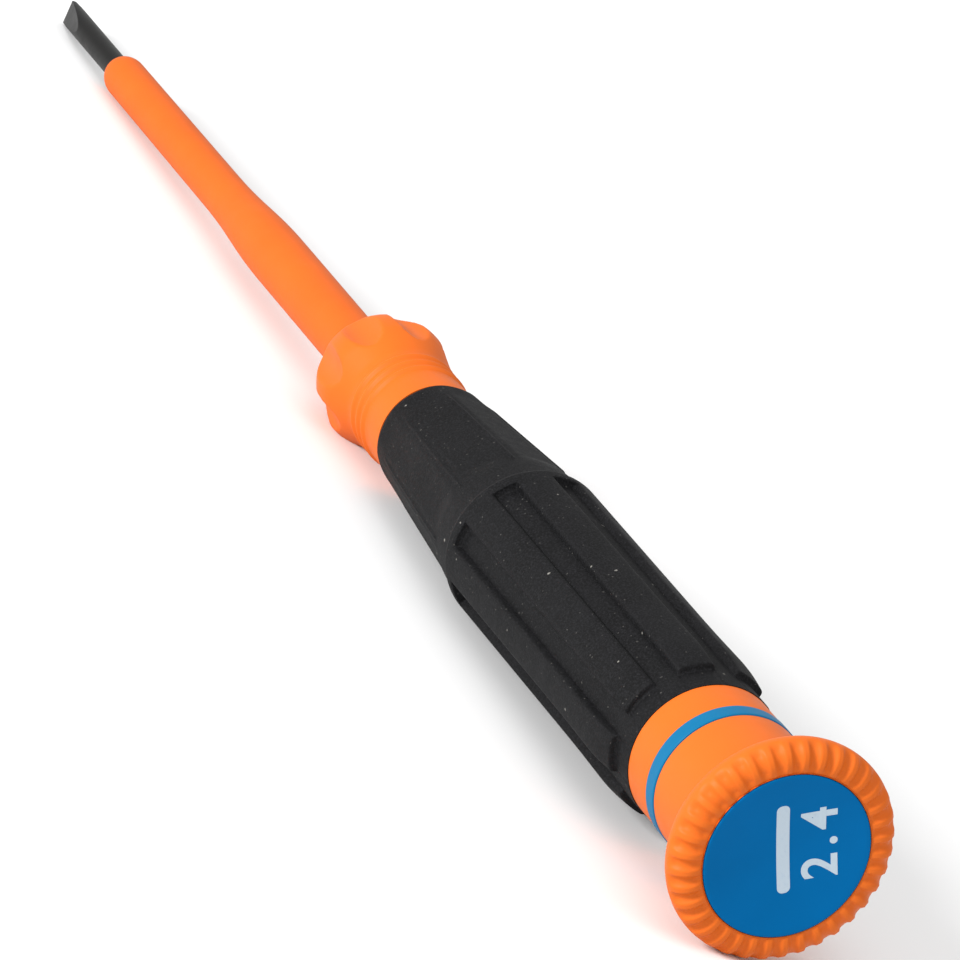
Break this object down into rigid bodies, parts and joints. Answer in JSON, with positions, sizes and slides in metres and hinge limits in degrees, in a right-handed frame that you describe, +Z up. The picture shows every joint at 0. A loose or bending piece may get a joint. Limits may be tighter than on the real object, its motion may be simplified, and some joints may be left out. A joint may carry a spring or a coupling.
{
  "type": "insulated screwdriver",
  "caption": "Insulated precision screwdriver: soft grip on a hard core, lobed finger guard, sleeved slotted blade and a fluted end cap that spins freely.",
  "frame": {"origin": "centre of the spinning cap's end face, on the tool's axis", "axes": "+X runs along the axis to the blade's tip, +Z is up through a valley of the guard, and the blade's width lies along Z"},
  "size_m": [0.1806, 0.0198, 0.0198],
  "materials": {
    "black_steel": "black oxide, satin",
    "bright_steel": "turned, satin",
    "pale_plastic": "matt",
    "orange_plastic": "satin moulded",
    "black_rubber": "fine matt texture",
    "ring_blue": "satin moulded",
    "disc_blue": "semi-gloss moulded",
    "mark_white": "printed, matt"
  },
  "bodies": {
    "handle": {"blade": "black_steel", "inner_insulation": "pale_plastic", "shank_sleeve": "orange_plastic", "handle_core": "orange_plastic", "grip_sleeve": "black_rubber", "colour_ring": "ring_blue", "pivot_pin": "bright_steel", "thrust_washer": "pale_plastic", "head_washer": "bright_steel"},
    "cap": {"cap_bush": "pale_plastic", "spin_cap": "orange_plastic", "cap_disc": "disc_blue", "slot_mark": "mark_white"}
  },
  "joints": [
    {"name": "cap_spin", "type": "hinge", "parent": "handle", "child": "cap", "pos_m": [0.0025, 0, 0], "axis": [1, 0, 0], "continuous": true}
  ]
}
